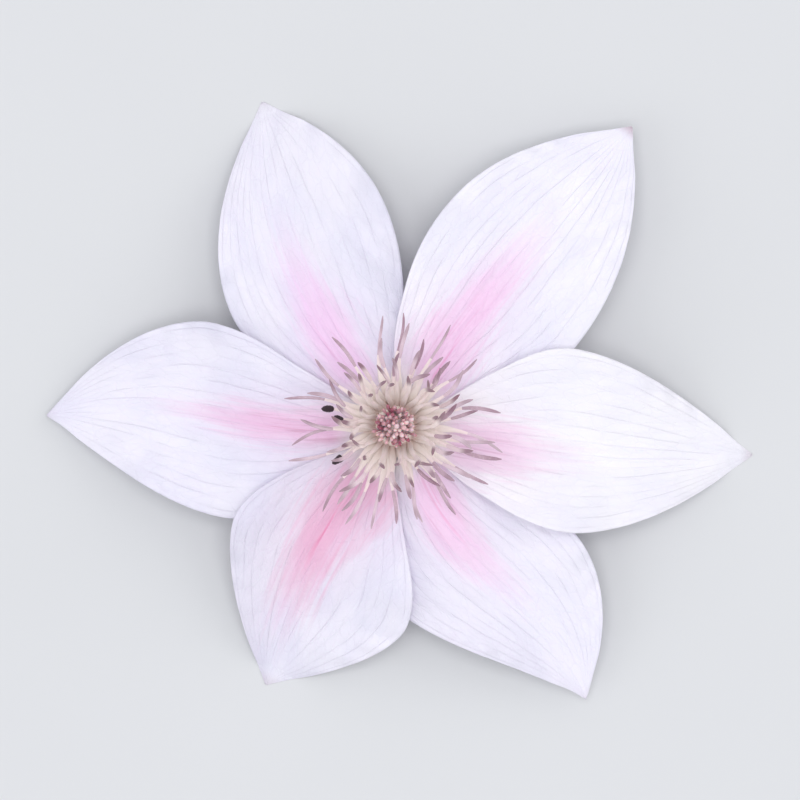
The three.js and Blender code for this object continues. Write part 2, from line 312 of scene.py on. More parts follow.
# %% [markdown]
# ## Sepals
# What looks like six petals are sepals. Each is a thin blade from a narrow claw to a broad middle and a short
# point, and no two are alike: each has its own reach, bow, fullness and lie, and laps over or under the next.
# The values are those of the solids, so that each blade stays in its solid's place. The sides are named by
# the way round the flower seen from above: ccw is the counter-clockwise one.

# %% Values of the six sepals


def side(width, widest, taper, fullness, root_lift, outer_lift):
    """One side of a blade: its width, where it is widest, two powers of its outline and two lifts."""
    return dict(width=width, widest=widest, taper=taper, fullness=fullness, lifts=(root_lift, outer_lift))


def sepal(angle, reach, bow, slopes, tip_height, ripple, ccw, cw):
    """A blade's direction in degrees, reach, bow, end slopes, tip height, phase of its ripple and sides."""
    form = dict(angle=angle, reach=reach, bow=bow, slopes=slopes, tip_height=tip_height, ripple=ripple)
    return form | dict(ccw=side(*ccw), cw=side(*cw))


SEPALS = [
    sepal(112.3, 63.8, (6.5, 6.5), (0.16, -0.34), -1.2, 0.4,
          (13.4, 29, 1.05, 1.9, -1.0, 4.2), (20.0, 36, 0.94, 2.1, -1.4, 1.4)),
    sepal(51.6, 69.2, (3.0, 0.5), (0.2, 0.02), 6.5, 1.9,
          (15.7, 38, 0.84, 2.05, 2.8, 1.2), (18.6, 31, 1.15, 2.1, -1.2, 3.4)),
    sepal(-4.7, 65.4, (-2.0, -3.0), (0.22, -0.36), -1.7, 3.1,
          (18.9, 31, 1.15, 1.75, 3.0, 2.2), (14.2, 33, 1.0, 1.65, 3.2, 3.6)),
    sepal(-55, 60.6, (-6.5, 4.5), (0.1, -0.16), 3.6, 4.6,
          (16.2, 33, 1.05, 1.8, -1.2, 2.4), (16.8, 28, 1.05, 1.6, -1.2, 2.8)),
    sepal(243.5, 52.8, (-2.3, -3.0), (0.24, -0.55), -2.0, 0.9,
          (20.8, 32, 1.3, 1.65, 3.2, 1.6), (16.0, 27, 1.1, 1.5, 3.0, 4.6)),
    sepal(178.3, 63.4, (4.0, -5.0), (0.16, -0.2), 2.2, 2.6,
          (17.5, 31, 1.05, 1.9, -1.2, 2.6), (17.2, 34, 1.05, 1.65, 2.8, 1.8)),
]
print(len(SEPALS), "sepals, reaching", [s["reach"] for s in SEPALS], "mm")

# %% [markdown]
# Each side of the outline swells like a sine from the claw and closes along a power curve, a little drawn in
# before the tip. The claws are fuller than the solids', which keep a gap that can be made: in the real flower
# they crowd together. A side that dips under its neighbour is the fuller one, so that no light shows between.

# %% Outline of a sepal
ROOT_RADIUS = 4.5
ROOT_HALF_WIDTH = 1.9
TIP_HALF_WIDTH = 0.16
TIP_HOLLOW = 0.1  # how much the outline is drawn in just before the tip, as a share
CLAW_LAPS = (0.7, 1.5)  # how much fuller a claw is at its upper side and at its lower one, in mm
CLAW_START, CLAW_END = (4.5, 6.4), (11, 20)  # where the fuller stretch begins and where it ends


def half_width(side_values, along, reach):
    """From the middle line to one margin, in mm, at places along the blade."""
    width, widest = side_values["width"], side_values["widest"]
    widening = np.clip((along - ROOT_RADIUS) / (widest - ROOT_RADIUS), 0, 1) ** side_values["taper"]
    closing = np.clip((along - widest) / (reach - widest), 0, 1) ** side_values["fullness"]
    inner = between(ROOT_HALF_WIDTH, width, np.sin(widening * math.pi / 2))
    lap = CLAW_LAPS[side_values["lifts"][0] < 0]
    inner = inner + lap * smoothstep(along, *CLAW_START) * (1 - smoothstep(along, *CLAW_END))
    hollow = TIP_HOLLOW * smoothstep(along, 0.9 * reach, 0.97 * reach)
    outer = between(TIP_HALF_WIDTH, width, (1 - closing) * (1 - hollow))
    return np.where(along < widest, inner, outer)


print("widest sepal, mm:", max(v["ccw"]["width"] + v["cw"]["width"] for v in SEPALS))

# %% [markdown]
# A blade is described by a sheet of points: s runs from the root to the tip and t across, from -1 at the
# clockwise margin to 1 at the other. The midrib is a smooth arch between the slopes at its two ends, and the
# margins lift and wave. One formula for the whole sheet keeps it smooth at any number of points.

# %% The sheet of a sepal
WAVE_COUNT = 2.6
WAVE_HEIGHT = (0.25, 1.1)  # of the margin, near the root and further out


def midrib_height(values, s, length):
    leave, meet = values["slopes"]
    drop = values["tip_height"] + SURFACE
    return drop * (3 * s**2 - 2 * s**3) + length * (leave * (s**3 - 2 * s**2 + s) + meet * (s**3 - s**2))


def sepal_sheet(values, s, t):
    """The middle of the blade, pointing along +X, and the half width at each point."""
    length = values["reach"] - ROOT_RADIUS
    along = ROOT_RADIUS + s * length + 0 * t
    bow = 4 * s * (1 - s) * between(*values["bow"], s)
    width, lift, fullness = 0, 0, 0
    for one_side, chosen in ((values["ccw"], t > 0), (values["cw"], t <= 0)):
        side_width = half_width(one_side, along, values["reach"])
        side_fullness = side_width / one_side["width"]
        side_lift = between(*one_side["lifts"], smoothstep(s, 0.4, 0.8)) * side_fullness * np.abs(t) ** 1.4
        width = width + chosen * side_width
        fullness = fullness + chosen * side_fullness
        lift = lift + chosen * side_lift
    wave_height = between(*WAVE_HEIGHT, smoothstep(s, 0.35, 0.6)) * fullness * t * t
    wave = wave_height * np.sin(2 * math.pi * WAVE_COUNT * s + values["ripple"] + t)
    height = midrib_height(values, s, length) + lift + wave
    return np.stack([along, bow + t * width, height], -1), width


ends = [float(midrib_height(v, 1.0, v["reach"] - ROOT_RADIUS) - SURFACE) for v in SEPALS]
print("middle of each tip above the surface, mm:", [round(end, 1) for end in ends])

# %% [markdown]
# The skin of a sepal is a little puckered, in creases drawn out along the blade. Sines of many directions
# added up give a puckering that never repeats and is the same on each run.

# %% Puckers
PUCKER_COUNT = 26
LONGEST, SHORTEST = 9.0, 2.6  # distances between crests, in mm


def puckers(x, y, seed):
    """An irregular waviness of about -1 to 1."""
    chance = np.random.default_rng(seed)
    total = 0
    for spacing in np.geomspace(LONGEST, SHORTEST, PUCKER_COUNT):
        angle, phase = chance.uniform(0, 2 * math.pi, 2)
        distance = x * math.cos(angle) + y * math.sin(angle)
        total = total + spacing * np.sin(2 * math.pi * distance / spacing + phase)
    return total / (0.5 * LONGEST * math.sqrt(PUCKER_COUNT))


print("puckers at the origin:", [round(float(puckers(0.0, 0.0, seed)), 2) for seed in (41, 42, 43)])

# %% [markdown]
# The fine relief makes the difference between a petal and a sheet of plastic. Three ribs run side by side
# along the middle and fade before the tip, and stand out more on the back. Shallow furrows follow the
# longitudinal veins, with the puckers between them, and the margin has small ruffles of its own.

# %% Relief of a sepal
RIB_OFFSET = 0.13
RIB_REACH, RIB_RELIEF, BACK_RIB_RELIEF = 0.55, 0.24, 0.3
FURROWS = (0.27, 0.41, 0.55, 0.68, 0.8, 0.9)  # places across half the blade, as shares
FURROW_REACH, FURROW_DEPTH = 0.42, 0.07
PUCKER_HEIGHT, PUCKER_STRETCH = 0.16, 2.4
RUFFLE_HEIGHT, RUFFLE_SPACING = (0.06, 0.26), 5.4


def sepal_relief(number, s, t, along, width):
    """Heights to add to the upper face and the underside, in mm."""
    rib_fade = 1 - smoothstep(s, 0.5, 0.97)
    ribs = ridge(t * width, RIB_REACH)
    for place in (-RIB_OFFSET, RIB_OFFSET):
        ribs = ribs + 0.85 * ridge((t - place) * width, RIB_REACH)
    furrows = 0
    for k, place in enumerate(FURROWS):
        wander = 0.012 * np.sin(9 * s + number + 2.1 * k)
        furrows = furrows + ridge((np.abs(t) - place - wander) * width, FURROW_REACH)
    furrows = furrows * smoothstep(s, 0.05, 0.3) * (1 - smoothstep(s, 0.8, 1.0))
    open_part = smoothstep(width, 2.5, 9) * smoothstep(s, 0.02, 0.25)
    pucker = PUCKER_HEIGHT * puckers(along / PUCKER_STRETCH, t * width, 40 + number) * open_part
    ruffle_height = np.abs(t) ** 5 * open_part * between(*RUFFLE_HEIGHT, smoothstep(s, 0.4, 0.62))
    ruffle_place = along + 1.7 * np.sin(along / 5.3 + number) + 3 * t
    both = pucker + ruffle_height * np.sin(ruffle_place * 2 * math.pi / RUFFLE_SPACING)
    upper = both + RIB_RELIEF * rib_fade * ribs - FURROW_DEPTH * furrows
    return upper, both - BACK_RIB_RELIEF * rib_fade * ribs


print(len(FURROWS), "furrows on each side of the ribs")

# %% [markdown]
# ### The finish of a sepal
# The finish is built in layers, each a short function: the ground, the pink bar, the veins and the back. All
# of them read the distances along and across the blade, in mm, so that bar and veins follow its bends. The
# ground is white with a breath of lavender in patches, and on most sepals painted shade darkens the clockwise
# side.

# %% Ground of a sepal
PATCH_SCALES = (0.07, 0.12, 1)  # per mm along the blade, per mm across it, and of the seed


def ground_layer(tree, look, seed, along, across, share):
    patch = noise(tree, place_of(tree, along, across, seed, PATCH_SCALES), detail=3)
    colour = mix(tree, fade(tree, patch, 0.35, 0.68), look["shaded"], look["ground"])
    # painted shade: the clockwise half is mixed towards a shaded grey lilac, as far as the look asks
    return mix(tree, fade(tree, share, 0.1, -0.8, 0, look["painted_side_shade"]), colour, shade(212, 206, 226))


print("patches of the ground are about", round(1 / PATCH_SCALES[0]), "mm long")

# %% [markdown]
# A bar of pink runs out along the ribs, streaky inside and feathered at its sides, and about half of it has
# faded midway along the blade. Noise drawn out lengthwise gives the streaks. It also makes the bar's own
# width uneven, which looks grown rather than painted. A faint halo softens the bar's border.

# %% Bar of a sepal
STREAK_SCALES, WANDER_SCALES = (0.05, 1.25, 1), (0.09, 0.2, 2)


def uneven(tree, value, texture, amount):
    """A value made uneven by a texture that lies about 0.5."""
    return maths(tree, "MULTIPLY_ADD", maths(tree, "SUBTRACT", texture, 0.5), amount, value)


def bar_layer(tree, look, along, across, streak, wander, ground):
    end = look["bar_end"]
    offset = fade(tree, along, 10.0, 0.6 * end, *look["offsets"])
    from_middle = maths(tree, "ABSOLUTE", maths(tree, "SUBTRACT", across, offset))
    narrowing = fade(tree, along, 15.0, end, 1.0, look["end_share"])
    in_widths = maths(tree, "DIVIDE", from_middle, times(tree, narrowing, look["bar_width"]))
    rough = uneven(tree, uneven(tree, in_widths, streak, 1.1), wander, 0.9)
    reaching = fade(tree, maths(tree, "MULTIPLY_ADD", streak, 12.0, along), end + 9, 0.62 * end)
    bar = times(tree, times(tree, fade(tree, rough, 1.2, 0.1), reaching), fade(tree, along, 5.0, 12.0))
    halo = times(tree, fade(tree, in_widths, 2.0, 0.4), times(tree, reaching, 0.2))
    bar = maths(tree, "MAXIMUM", bar, halo)
    deep_streak = times(tree, fade(tree, streak, 0.5, 0.7), fade(tree, along, end - 4, 13.0))
    bar_colour = mix(tree, deep_streak, look["bar"], look["deep"])
    return mix(tree, times(tree, bar, look["strength"]), ground, bar_colour)


print("streaks of a bar are about", 1 / STREAK_SCALES[1], "mm wide and", 1 / STREAK_SCALES[0], "mm long")

# %% [markdown]
# Hairline veins draw out the length of the blade, fifteen from margin to margin, with a fine net between
# them. They come and go, as real ones do. The veins repeat across the blade's own width, so they spread where
# it widens. The same lines serve as a faint colour and as fine grooves.

# %% Veins of a sepal
HALF_VEINS = 7.5  # how many gaps between veins there are from the midrib to a margin


def vein_lines(tree, seed, along, across, share, wander):
    """1 on a vein, less on the net, and 0 beside them."""
    wobble = times(tree, maths(tree, "SUBTRACT", wander, 0.5), 0.5)
    phase = maths(tree, "PINGPONG", maths(tree, "MULTIPLY_ADD", share, HALF_VEINS, wobble), 0.5)
    fading = noise(tree, place_of(tree, along, share, seed, (0.11, 9.0, 4)), detail=1)
    vein = times(tree, fade(tree, phase, 0.07, 0.0), fade(tree, fading, 0.36, 0.62, 0.15, 1.0))
    cell = {"Vector": place_of(tree, along, across, seed, (0.28, 0.62, 1)), "Scale": 1.0}
    net_edge = add(tree, "TexVoronoi", cell, feature="DISTANCE_TO_EDGE").outputs["Distance"]
    return maths(tree, "MAXIMUM", vein, times(tree, fade(tree, net_edge, 0.07, 0.0), 0.35))


print("veins on a blade:", round(2 * HALF_VEINS))

# %% [markdown]
# On the back the ground is duller and the ribs show greenish. The very tip is stained, and the claw is creamy
# white. Some light passes through so thin a blade, which the subsurface values give, and a little sheen
# stands for its velvet.

# %% Finish of a sepal
SEPAL_SURFACE = {
    "Subsurface Weight": 0.22, "Subsurface Radius": (1.0, 0.82, 0.95), "Subsurface Scale": 0.0012,
    "Sheen Weight": 0.12, "Sheen Roughness": 0.4, "Specular IOR Level": 0.3,
}


def back_layer(tree, reach, along, across, streak, front):
    rib = fade(tree, maths(tree, "ABSOLUTE", across), 3.6, 1.2)
    rib = times(tree, rib, fade(tree, along, reach - 2, 25.0, 0.15, 0.75))
    rib = times(tree, rib, fade(tree, streak, 0.3, 0.62, 0.35, 1.0))
    return mix(tree, rib, mix(tree, 0.35, front, shade(232, 226, 238)), shade(188, 196, 150))


def sepal_finish(name, reach, seed, look):
    material, tree, shader = finish_of(name, SEPAL_SURFACE)
    along, across, share = stored(tree, "blade")
    underside = add(tree, "Attribute", attribute_name="underside").outputs["Fac"]
    streak = noise(tree, place_of(tree, along, across, seed, STREAK_SCALES), detail=3, roughness=0.6)
    wander = noise(tree, place_of(tree, along, across, seed, WANDER_SCALES), detail=2)
    colour = ground_layer(tree, look, seed, along, across, share)
    colour = bar_layer(tree, look, along, across, streak, wander, colour)
    lines = vein_lines(tree, seed, along, across, share, wander)
    colour = mix(tree, times(tree, lines, 0.09), colour, shade(190, 172, 214))
    tip = fade(tree, along, reach - 2.6, reach + 0.2, 0, look["stain"])
    colour = mix(tree, tip, colour, shade(178, 152, 160))
    colour = mix(tree, fade(tree, along, 12.0, 5.0, 0, 0.6), colour, shade(250, 242, 234))
    colour = mix(tree, underside, colour, back_layer(tree, reach, along, across, streak, colour))
    grain = noise(tree, place_of(tree, along, across, underside, (2.2, 2.6, 5)), detail=3)
    relief = maths(tree, "MULTIPLY_ADD", lines, -0.75, times(tree, grain, 0.5))
    relief = maths(tree, "MULTIPLY_ADD", streak, 0.7, relief)
    clothe(tree, shader, colour, relief, 0.55, 0.00022)
    tree.links.new(fade(tree, grain, 0.3, 0.7, 0.46, 0.62), shader.inputs["Roughness"])
    return material


print("sepal surface:", SEPAL_SURFACE)

# %% [markdown]
# Each sepal has its own look: how white its ground is, how much painted shade darkens its clockwise half, how
# far the tip is stained, and the colours, strength, width and length of its bar. The two offsets say how far
# the bar lies from the midrib near the root and further out, in mm. The lower left sepal is the pinkest.

# %% Looks of the six sepals
# the two brighter whites go to the sepals on the upper right: partly their own tone, partly painted light where
# the light falls
WHITE, COOL = shade(243, 238, 252), shade(233, 229, 247)
LIT_WARM_WHITE, LILAC = shade(247, 243, 255), shade(239, 235, 251)
LIT_WARMEST_WHITE = shade(252, 248, 255)
LOOKS = [
    dict(ground=WHITE, shaded=COOL, painted_side_shade=0.0, stain=0.15,
         bar=shade(243, 204, 238), deep=shade(234, 174, 218), strength=0.85,
         offsets=(1.4, -1.0), bar_width=6.8, end_share=0.5, bar_end=44),
    dict(ground=LIT_WARM_WHITE, shaded=LILAC, painted_side_shade=0.0, stain=0.7,
         bar=shade(246, 204, 236), deep=shade(238, 164, 210), strength=0.9,
         offsets=(0.4, -0.4), bar_width=8.0, end_share=0.5, bar_end=48),
    dict(ground=LIT_WARMEST_WHITE, shaded=LIT_WARM_WHITE, painted_side_shade=0.08, stain=0.35,
         bar=shade(243, 208, 232), deep=shade(214, 160, 192), strength=0.9,
         offsets=(-1.2, -0.8), bar_width=7.6, end_share=0.55, bar_end=37),
    dict(ground=WHITE, shaded=LILAC, painted_side_shade=0.22, stain=0.15,
         bar=shade(246, 204, 234), deep=shade(238, 164, 206), strength=0.82,
         offsets=(2.0, 0.3), bar_width=7.0, end_share=0.45, bar_end=42),
    dict(ground=WHITE, shaded=COOL, painted_side_shade=0.4, stain=0.3,
         bar=shade(236, 186, 213), deep=shade(228, 120, 168), strength=1.0,
         offsets=(1.2, -0.5), bar_width=9.0, end_share=0.5, bar_end=47),
    dict(ground=WHITE, shaded=COOL, painted_side_shade=0.1, stain=0.15,
         bar=shade(238, 194, 224), deep=shade(206, 130, 166), strength=0.9,
         offsets=(-0.4, -0.8), bar_width=6.2, end_share=0.35, bar_end=45),
]
print("bars end at", [look["bar_end"] for look in LOOKS], "mm from the axis")

# %% [markdown]
# Each blade is built as two faces that share one pattern of points and are joined round the margin, so it is
# a closed body as thin as a real sepal. The columns stand closer near the midrib, where the ribs are. Where a
# tip lies on the surface, its underside is pressed flat.

# %% Faces of a sepal
ROWS, COLUMNS = 132, 105


def blade_faces(rows, columns):
    """Faces of a closed blade: the upper face's points come first, then the underside's."""
    row, column = np.meshgrid(np.arange(rows - 1), np.arange(columns - 1), indexing="ij")
    corner = (row * columns + column).ravel()
    upper = np.stack([corner, corner + columns, corner + columns + 1, corner + 1], -1)
    count = rows * columns
    lower = upper[:, ::-1] + count
    rim = [r * columns for r in range(rows)]
    rim += [(rows - 1) * columns + c for c in range(1, columns)]
    rim += [r * columns + columns - 1 for r in range(rows - 2, -1, -1)]
    rim += range(columns - 2, 0, -1)
    start, end = np.array(rim), np.roll(rim, -1)
    sides = np.stack([end, start, start + count, end + count], -1)
    return np.concatenate([upper, lower, sides]).tolist()


print("sheet of", ROWS, "by", COLUMNS, "points on each face")

# %% [markdown]
# A blade is thickest at the sturdy claw, thinner in the middle and thinnest at the margin, and it never gets
# thinner than a stout sheet of paper where the relief pulls its faces together. Each blade is its own piece
# with its own finish, because each has its own solid and its own look.

# %% Build the sepals
CLAW_THICKNESS, MIDDLE_THICKNESS, MARGIN_THICKNESS, LEAST_THICKNESS = 0.62, 0.4, 0.17, 0.16  # mm
COLUMN_CROWDING = 1.22  # a power above 1 draws the columns towards the midrib


def build_sepal(number, values, look):
    s = np.linspace(0, 1, ROWS)[:, None]
    u = np.linspace(-1, 1, COLUMNS)[None, :]
    t = np.sign(u) * np.abs(u) ** COLUMN_CROWDING
    middle, width = sepal_sheet(values, s, t)
    along = middle[..., 0]
    upper_relief, lower_relief = sepal_relief(number, s, t, along, width)
    thickness = between(CLAW_THICKNESS, MIDDLE_THICKNESS, smoothstep(s, 0, 0.3))
    half = between(thickness, MARGIN_THICKNESS, np.abs(t) ** 3) / 2
    upper, lower = middle.copy(), middle.copy()
    lower[..., 2] = np.maximum(middle[..., 2] - half + lower_relief, SURFACE)
    upper[..., 2] = np.maximum(middle[..., 2] + half + upper_relief, lower[..., 2] + LEAST_THICKNESS)
    points = np.concatenate([upper.reshape(-1, 3), lower.reshape(-1, 3)])
    points = turned(points, math.radians(values["angle"]))
    blade = np.stack([along, t * width, t + 0 * s], -1).reshape(-1, 3)
    labels = {"blade": np.concatenate([blade, blade]), "underside": np.repeat([0.0, 1.0], len(blade))}
    name = f"sepal_{number}"
    finish = sepal_finish(f"{name}_finish", values["reach"], 3.7 * number, look)
    make_piece(f"{name}_blade", points, blade_faces(ROWS, COLUMNS), [finish], name, labels)


for number, (values, look) in enumerate(zip(SEPALS, LOOKS), 1):
    build_sepal(number, values, look)

# %% [markdown]
# ## Tubes
# Stamens, styles, hairs and the stalk are all bent tubes. A tube follows a line of points. At each of them it
# has a ring of corners, given as offsets to the side and upwards, so a section can be flat, grooved or ridged
# and can change along the way. The ends are closed.

# %% Helpers for tubes


def full_turn(count):
    """Even steps round a circle, as angles."""
    return np.arange(count) / count * 2 * math.pi


def ring_faces(rings, corners, closed=False):
    """Faces between each ring of corners and the next one. closed also joins the last to the first."""
    faces = []
    for ring in range(rings if closed else rings - 1):
        here, there = ring * corners, (ring + 1) % rings * corners
        for corner in range(corners):
            beside = (corner + 1) % corners
            faces.append((here + corner, here + beside, there + beside, there + corner))
    return faces


def tube_faces(rings, corners):
    """Faces of a tube and of its two ends."""
    last = range((rings - 1) * corners, rings * corners)
    return ring_faces(rings, corners) + [tuple(range(corners))[::-1], tuple(last)]


def tube(line, sideways, section):
    """Points and faces of a closed tube. section is rings by corners by (side, up), in mm."""
    tangent = unit(np.gradient(line, axis=0))
    side_way = unit(sideways - (tangent @ sideways)[:, None] * tangent)
    up_way = np.cross(tangent, side_way)
    points = line[:, None] + section[..., :1] * side_way[:, None] + section[..., 1:] * up_way[:, None]
    return points.reshape(-1, 3), tube_faces(*section.shape[:2])


print("faces of a tube of 3 rings with 4 corners:", len(tube_faces(3, 4)))

# %% [markdown]
# A line is best given by a few points with a smooth curve through or between them. Points at chosen shares of
# its length put the rings where the section changes. A groove in an oval section makes the furrow between two
# pollen sacs.

# %% Helpers for lines and sections
CURVE_STEPS = 200


def along_path(path, shares):
    """Points at shares of the length of a path of close points."""
    steps = np.linalg.norm(np.diff(path, axis=0), axis=1)
    walked = np.concatenate([[0], np.cumsum(steps)])
    return np.stack([np.interp(shares * walked[-1], walked, axis) for axis in path.T], -1)


def pulled_curve(start, pull, end, shares):
    """Points at shares of the length of a curve from start to end that a third point pulls aside."""
    fine = np.linspace(0, 1, CURVE_STEPS)[:, None]
    path = (1 - fine) ** 2 * start + 2 * fine * (1 - fine) * pull + fine**2 * end
    return along_path(path, shares)


def oval(half_widths, half_heights, corners, groove=0.0):
    """Rings of an oval section, with a groove along the middle of its upper and lower face."""
    angle = (np.arange(corners) + 0.5) / corners * 2 * math.pi
    across, up = np.cos(angle), np.sin(angle)
    dip = 1 - np.atleast_1d(groove)[:, None] * ridge(across, 0.34)[None, :]
    return np.stack([half_widths[:, None] * across, half_heights[:, None] * up * dip], -1)


print("a curve is measured in", CURVE_STEPS - 1, "steps")

# %% [markdown]
# Ninety stamens would be ninety objects, which is slow and untidy. A bundle gathers such small bodies into
# one mesh. Each keeps its own three values at its points under the name growth: how far along it a point is,
# its tone, and one more that its finish needs.

# %% Gather small bodies


class Bundle:
    """Gathers many small bodies into one piece, with their values at the points."""

    def __init__(self):
        self.points, self.faces, self.values, self.finishes, self.count = [], [], [], [], 0

    def add(self, points, faces, values, finish=0):
        self.points.append(points)
        self.faces += [tuple(i + self.count for i in face) for face in faces]
        self.values.append(np.broadcast_to(values, (len(points), 3)))
        self.finishes += [finish] * len(faces) if np.isscalar(finish) else list(finish)
        self.count += len(points)

    def make(self, name, finishes, replaced):
        labels = {"growth": np.concatenate(self.values)}
        points = np.concatenate(self.points)
        make_piece(name, points, self.faces, finishes, replaced, labels, self.finishes)


print("bundle ready")

# %% [markdown]
# ## Stamens
# Ninety stamens stand in five whorls on a low ring. The outer whorls lean far out over the sepals and the
# inner ones stand nearly upright. Each starts along the same line as its solid, strays a little midway, and
# its tip goes its own way: it curls aside, an outer one rises a little, and an inner one hooks back over the
# middle.

# %% Lines of the stamens
STAMEN_TIERS, STAMENS_PER_TIER = 5, 18
STAMEN_COUNT = STAMEN_TIERS * STAMENS_PER_TIER
STAMEN_ROOT_RADIUS = 3.5
TIER_TWIST, STRAY = 0.4, 0.3  # from whorl to whorl and at random, as shares of the angle between two
UNEVENNESS, SWAY = 0.06, 1.6  # of reach and height as a share, and of a tip to the side in mm
OUTER_STAMEN = dict(root_height=1.8, tip_radius=20.8, tip_height=9.8)
INNER_STAMEN = dict(root_height=4.0, tip_radius=8.0, tip_height=19.8)
ANTHER_START = 0.63
STAMEN_SHARES = np.concatenate([  # the rings stand closest at the two ends of the anther
    np.linspace(0, 0.6, 10)[:-1], np.linspace(0.6, 0.69, 5)[:-1],
    np.linspace(0.69, 0.94, 9)[:-1], np.linspace(0.94, 1.0, 5),
])
CURL, RISE, WANDER = 3.0, 1.6, 0.9  # how far a tip bends aside and up and a filament strays, in mm
HOOK = 4.6  # how far the tips of the innermost stamens bend back towards the middle, in mm


def directions(turn):
    """The way out from the axis at an angle, and the way across it."""
    return np.array([math.cos(turn), math.sin(turn), 0]), np.array([-math.sin(turn), math.cos(turn), 0])


def stamen_line(tier, place):
    """The line of one stamen, the direction across it, and how far in it stands, from 0 to 1."""
    index = tier * STAMENS_PER_TIER + place
    inward = (tier + 0.5 + 0.4 * jitter(index, 1)) / STAMEN_TIERS
    turn = (place + tier * TIER_TWIST + STRAY * jitter(index, 2)) / STAMENS_PER_TIER * 2 * math.pi
    size = {key: between(OUTER_STAMEN[key], INNER_STAMEN[key], inward) for key in OUTER_STAMEN}
    root = between(OUTER_STAMEN["root_height"], INNER_STAMEN["root_height"], tier / (STAMEN_TIERS - 1))
    tip_radius = size["tip_radius"] * (1 + UNEVENNESS * jitter(index, 3))
    tip_height = size["tip_height"] * (1 + UNEVENNESS * jitter(index, 4))
    sway = SWAY * jitter(index, 5)
    out, across = directions(turn)
    start = STAMEN_ROOT_RADIUS * out + [0, 0, root]
    pull = between(STAMEN_ROOT_RADIUS, tip_radius, 0.42) * out - 0.4 * sway * across
    pull = pull + [0, 0, between(root, tip_height, 0.72)]
    end = tip_radius * out + sway * across + [0, 0, tip_height]
    line = pulled_curve(start, pull, end, STAMEN_SHARES)
    late = smoothstep(STAMEN_SHARES, 0.55, 1.2)[:, None] ** 1.8
    middle = np.sin(math.pi * STAMEN_SHARES)[:, None] ** 2
    hook = HOOK * inward**2 * abs(jitter(index, 18))
    rise = [0, 0, RISE * (1 - inward) * abs(jitter(index, 14))]
    line = line + late * (CURL * jitter(index, 7) * across - hook * out + rise)
    return line + WANDER * middle * jitter(index, 17) * across, across, inward


print("stamens:", STAMEN_COUNT)

# %% [markdown]
# A stamen is a flat cream filament that carries a long slender anther: two pollen sacs side by side with a
# furrow between them. The outer filaments are broad ribbons at the foot, and the inner anthers are the
# plumper ones, because they haven't opened yet. One list of sections from foot to tip gives both parts.

# %% Sections of a stamen
STAMEN_CORNERS = 14
FOOT_WIDTHS, PLUMPNESS = (0.8, 0.45), (0.94, 1.4)  # of the outermost and the innermost stamen
GROOVE = 0.5
TWIST = 0.9  # how far an anther turns about its own length


def stamen_section(index):
    """The filament's flat oval, then the anther's wider grooved one."""
    share = STAMEN_SHARES
    anther = smoothstep(share, ANTHER_START - 0.02, ANTHER_START + 0.025)
    foot = between(*FOOT_WIDTHS, index / STAMEN_COUNT)
    plump = between(*PLUMPNESS, index / STAMEN_COUNT) + 0.16 * jitter(index, 8)
    filament_width = np.interp(share, [0, 0.1, 0.3, 0.48, ANTHER_START], [0.45, foot, foot, 0.38, 0.24])
    filament_height = np.interp(share, [0, ANTHER_START], [0.26, 0.16])
    steps = [ANTHER_START, 0.7, 0.86, 0.95, 1]
    anther_width = np.interp(share, steps, [0.27, 0.33, 0.33, 0.26, 0.08]) * plump
    anther_height = np.interp(share, steps, [0.22, 0.27, 0.28, 0.21, 0.06]) * plump
    widths = between(filament_width, anther_width, anther)
    heights = between(filament_height, anther_height, anther)
    groove = GROOVE * anther * (1 - smoothstep(share, 0.94, 1.0))
    section = oval(widths, heights, STAMEN_CORNERS, groove)
    turn = TWIST * jitter(index, 15) * anther
    across, up = section[..., 0], section[..., 1]
    c, s = np.cos(turn)[:, None], np.sin(turn)[:, None]
    return np.stack([c * across - s * up, s * across + c * up], -1)


print("rings in a stamen:", len(STAMEN_SHARES))

# %% [markdown]
# The filaments are cream and grow pinker where the anther starts. Each has a tone of its own, because a brush
# of equal strokes looks stamped. A few mixes and a fine mottle are enough for so small a thing.

# %% Finish of the filaments


def filament_finish():
    look = {
        "Roughness": 0.45, "Subsurface Weight": 0.05,
        "Subsurface Radius": (1.0, 0.9, 0.8), "Subsurface Scale": 0.0012,
    }
    material, tree, shader = finish_of("filament_finish", look)
    share, tone, _ = stored(tree, "growth")
    mottle = body_noise(tree, 900, detail=3)
    colour = mix(tree, fade(tree, share, 0.02, 0.3), shade(255, 236, 229), shade(255, 247, 241))
    colour = mix(tree, fade(tree, share, 0.35, 0.62, 0, 0.5), colour, shade(255, 233, 237))
    colour = mix(tree, times(tree, mottle, 0.1), colour, shade(246, 232, 222))
    colour = mix(tree, times(tree, tone, 0.1), colour, shade(238, 216, 212))
    clothe(tree, shader, colour, mottle, 0.4, 0.0001)
    return material


FILAMENT_FINISH = filament_finish()
print(FILAMENT_FINISH.name, "has", len(FILAMENT_FINISH.node_tree.nodes), "nodes")

# %% [markdown]
# Anthers ripen from the outside in: the inner ones are still closed, pale with a dusky tip that shows as a
# dot from above, and the outer ones are open and dusty mauve. Three on the left are old: they have shrivelled
# and gone nearly black. So each stamen carries a ripeness, from 0 for a closed anther to 1 for an old one.

# %% Finish of the anthers


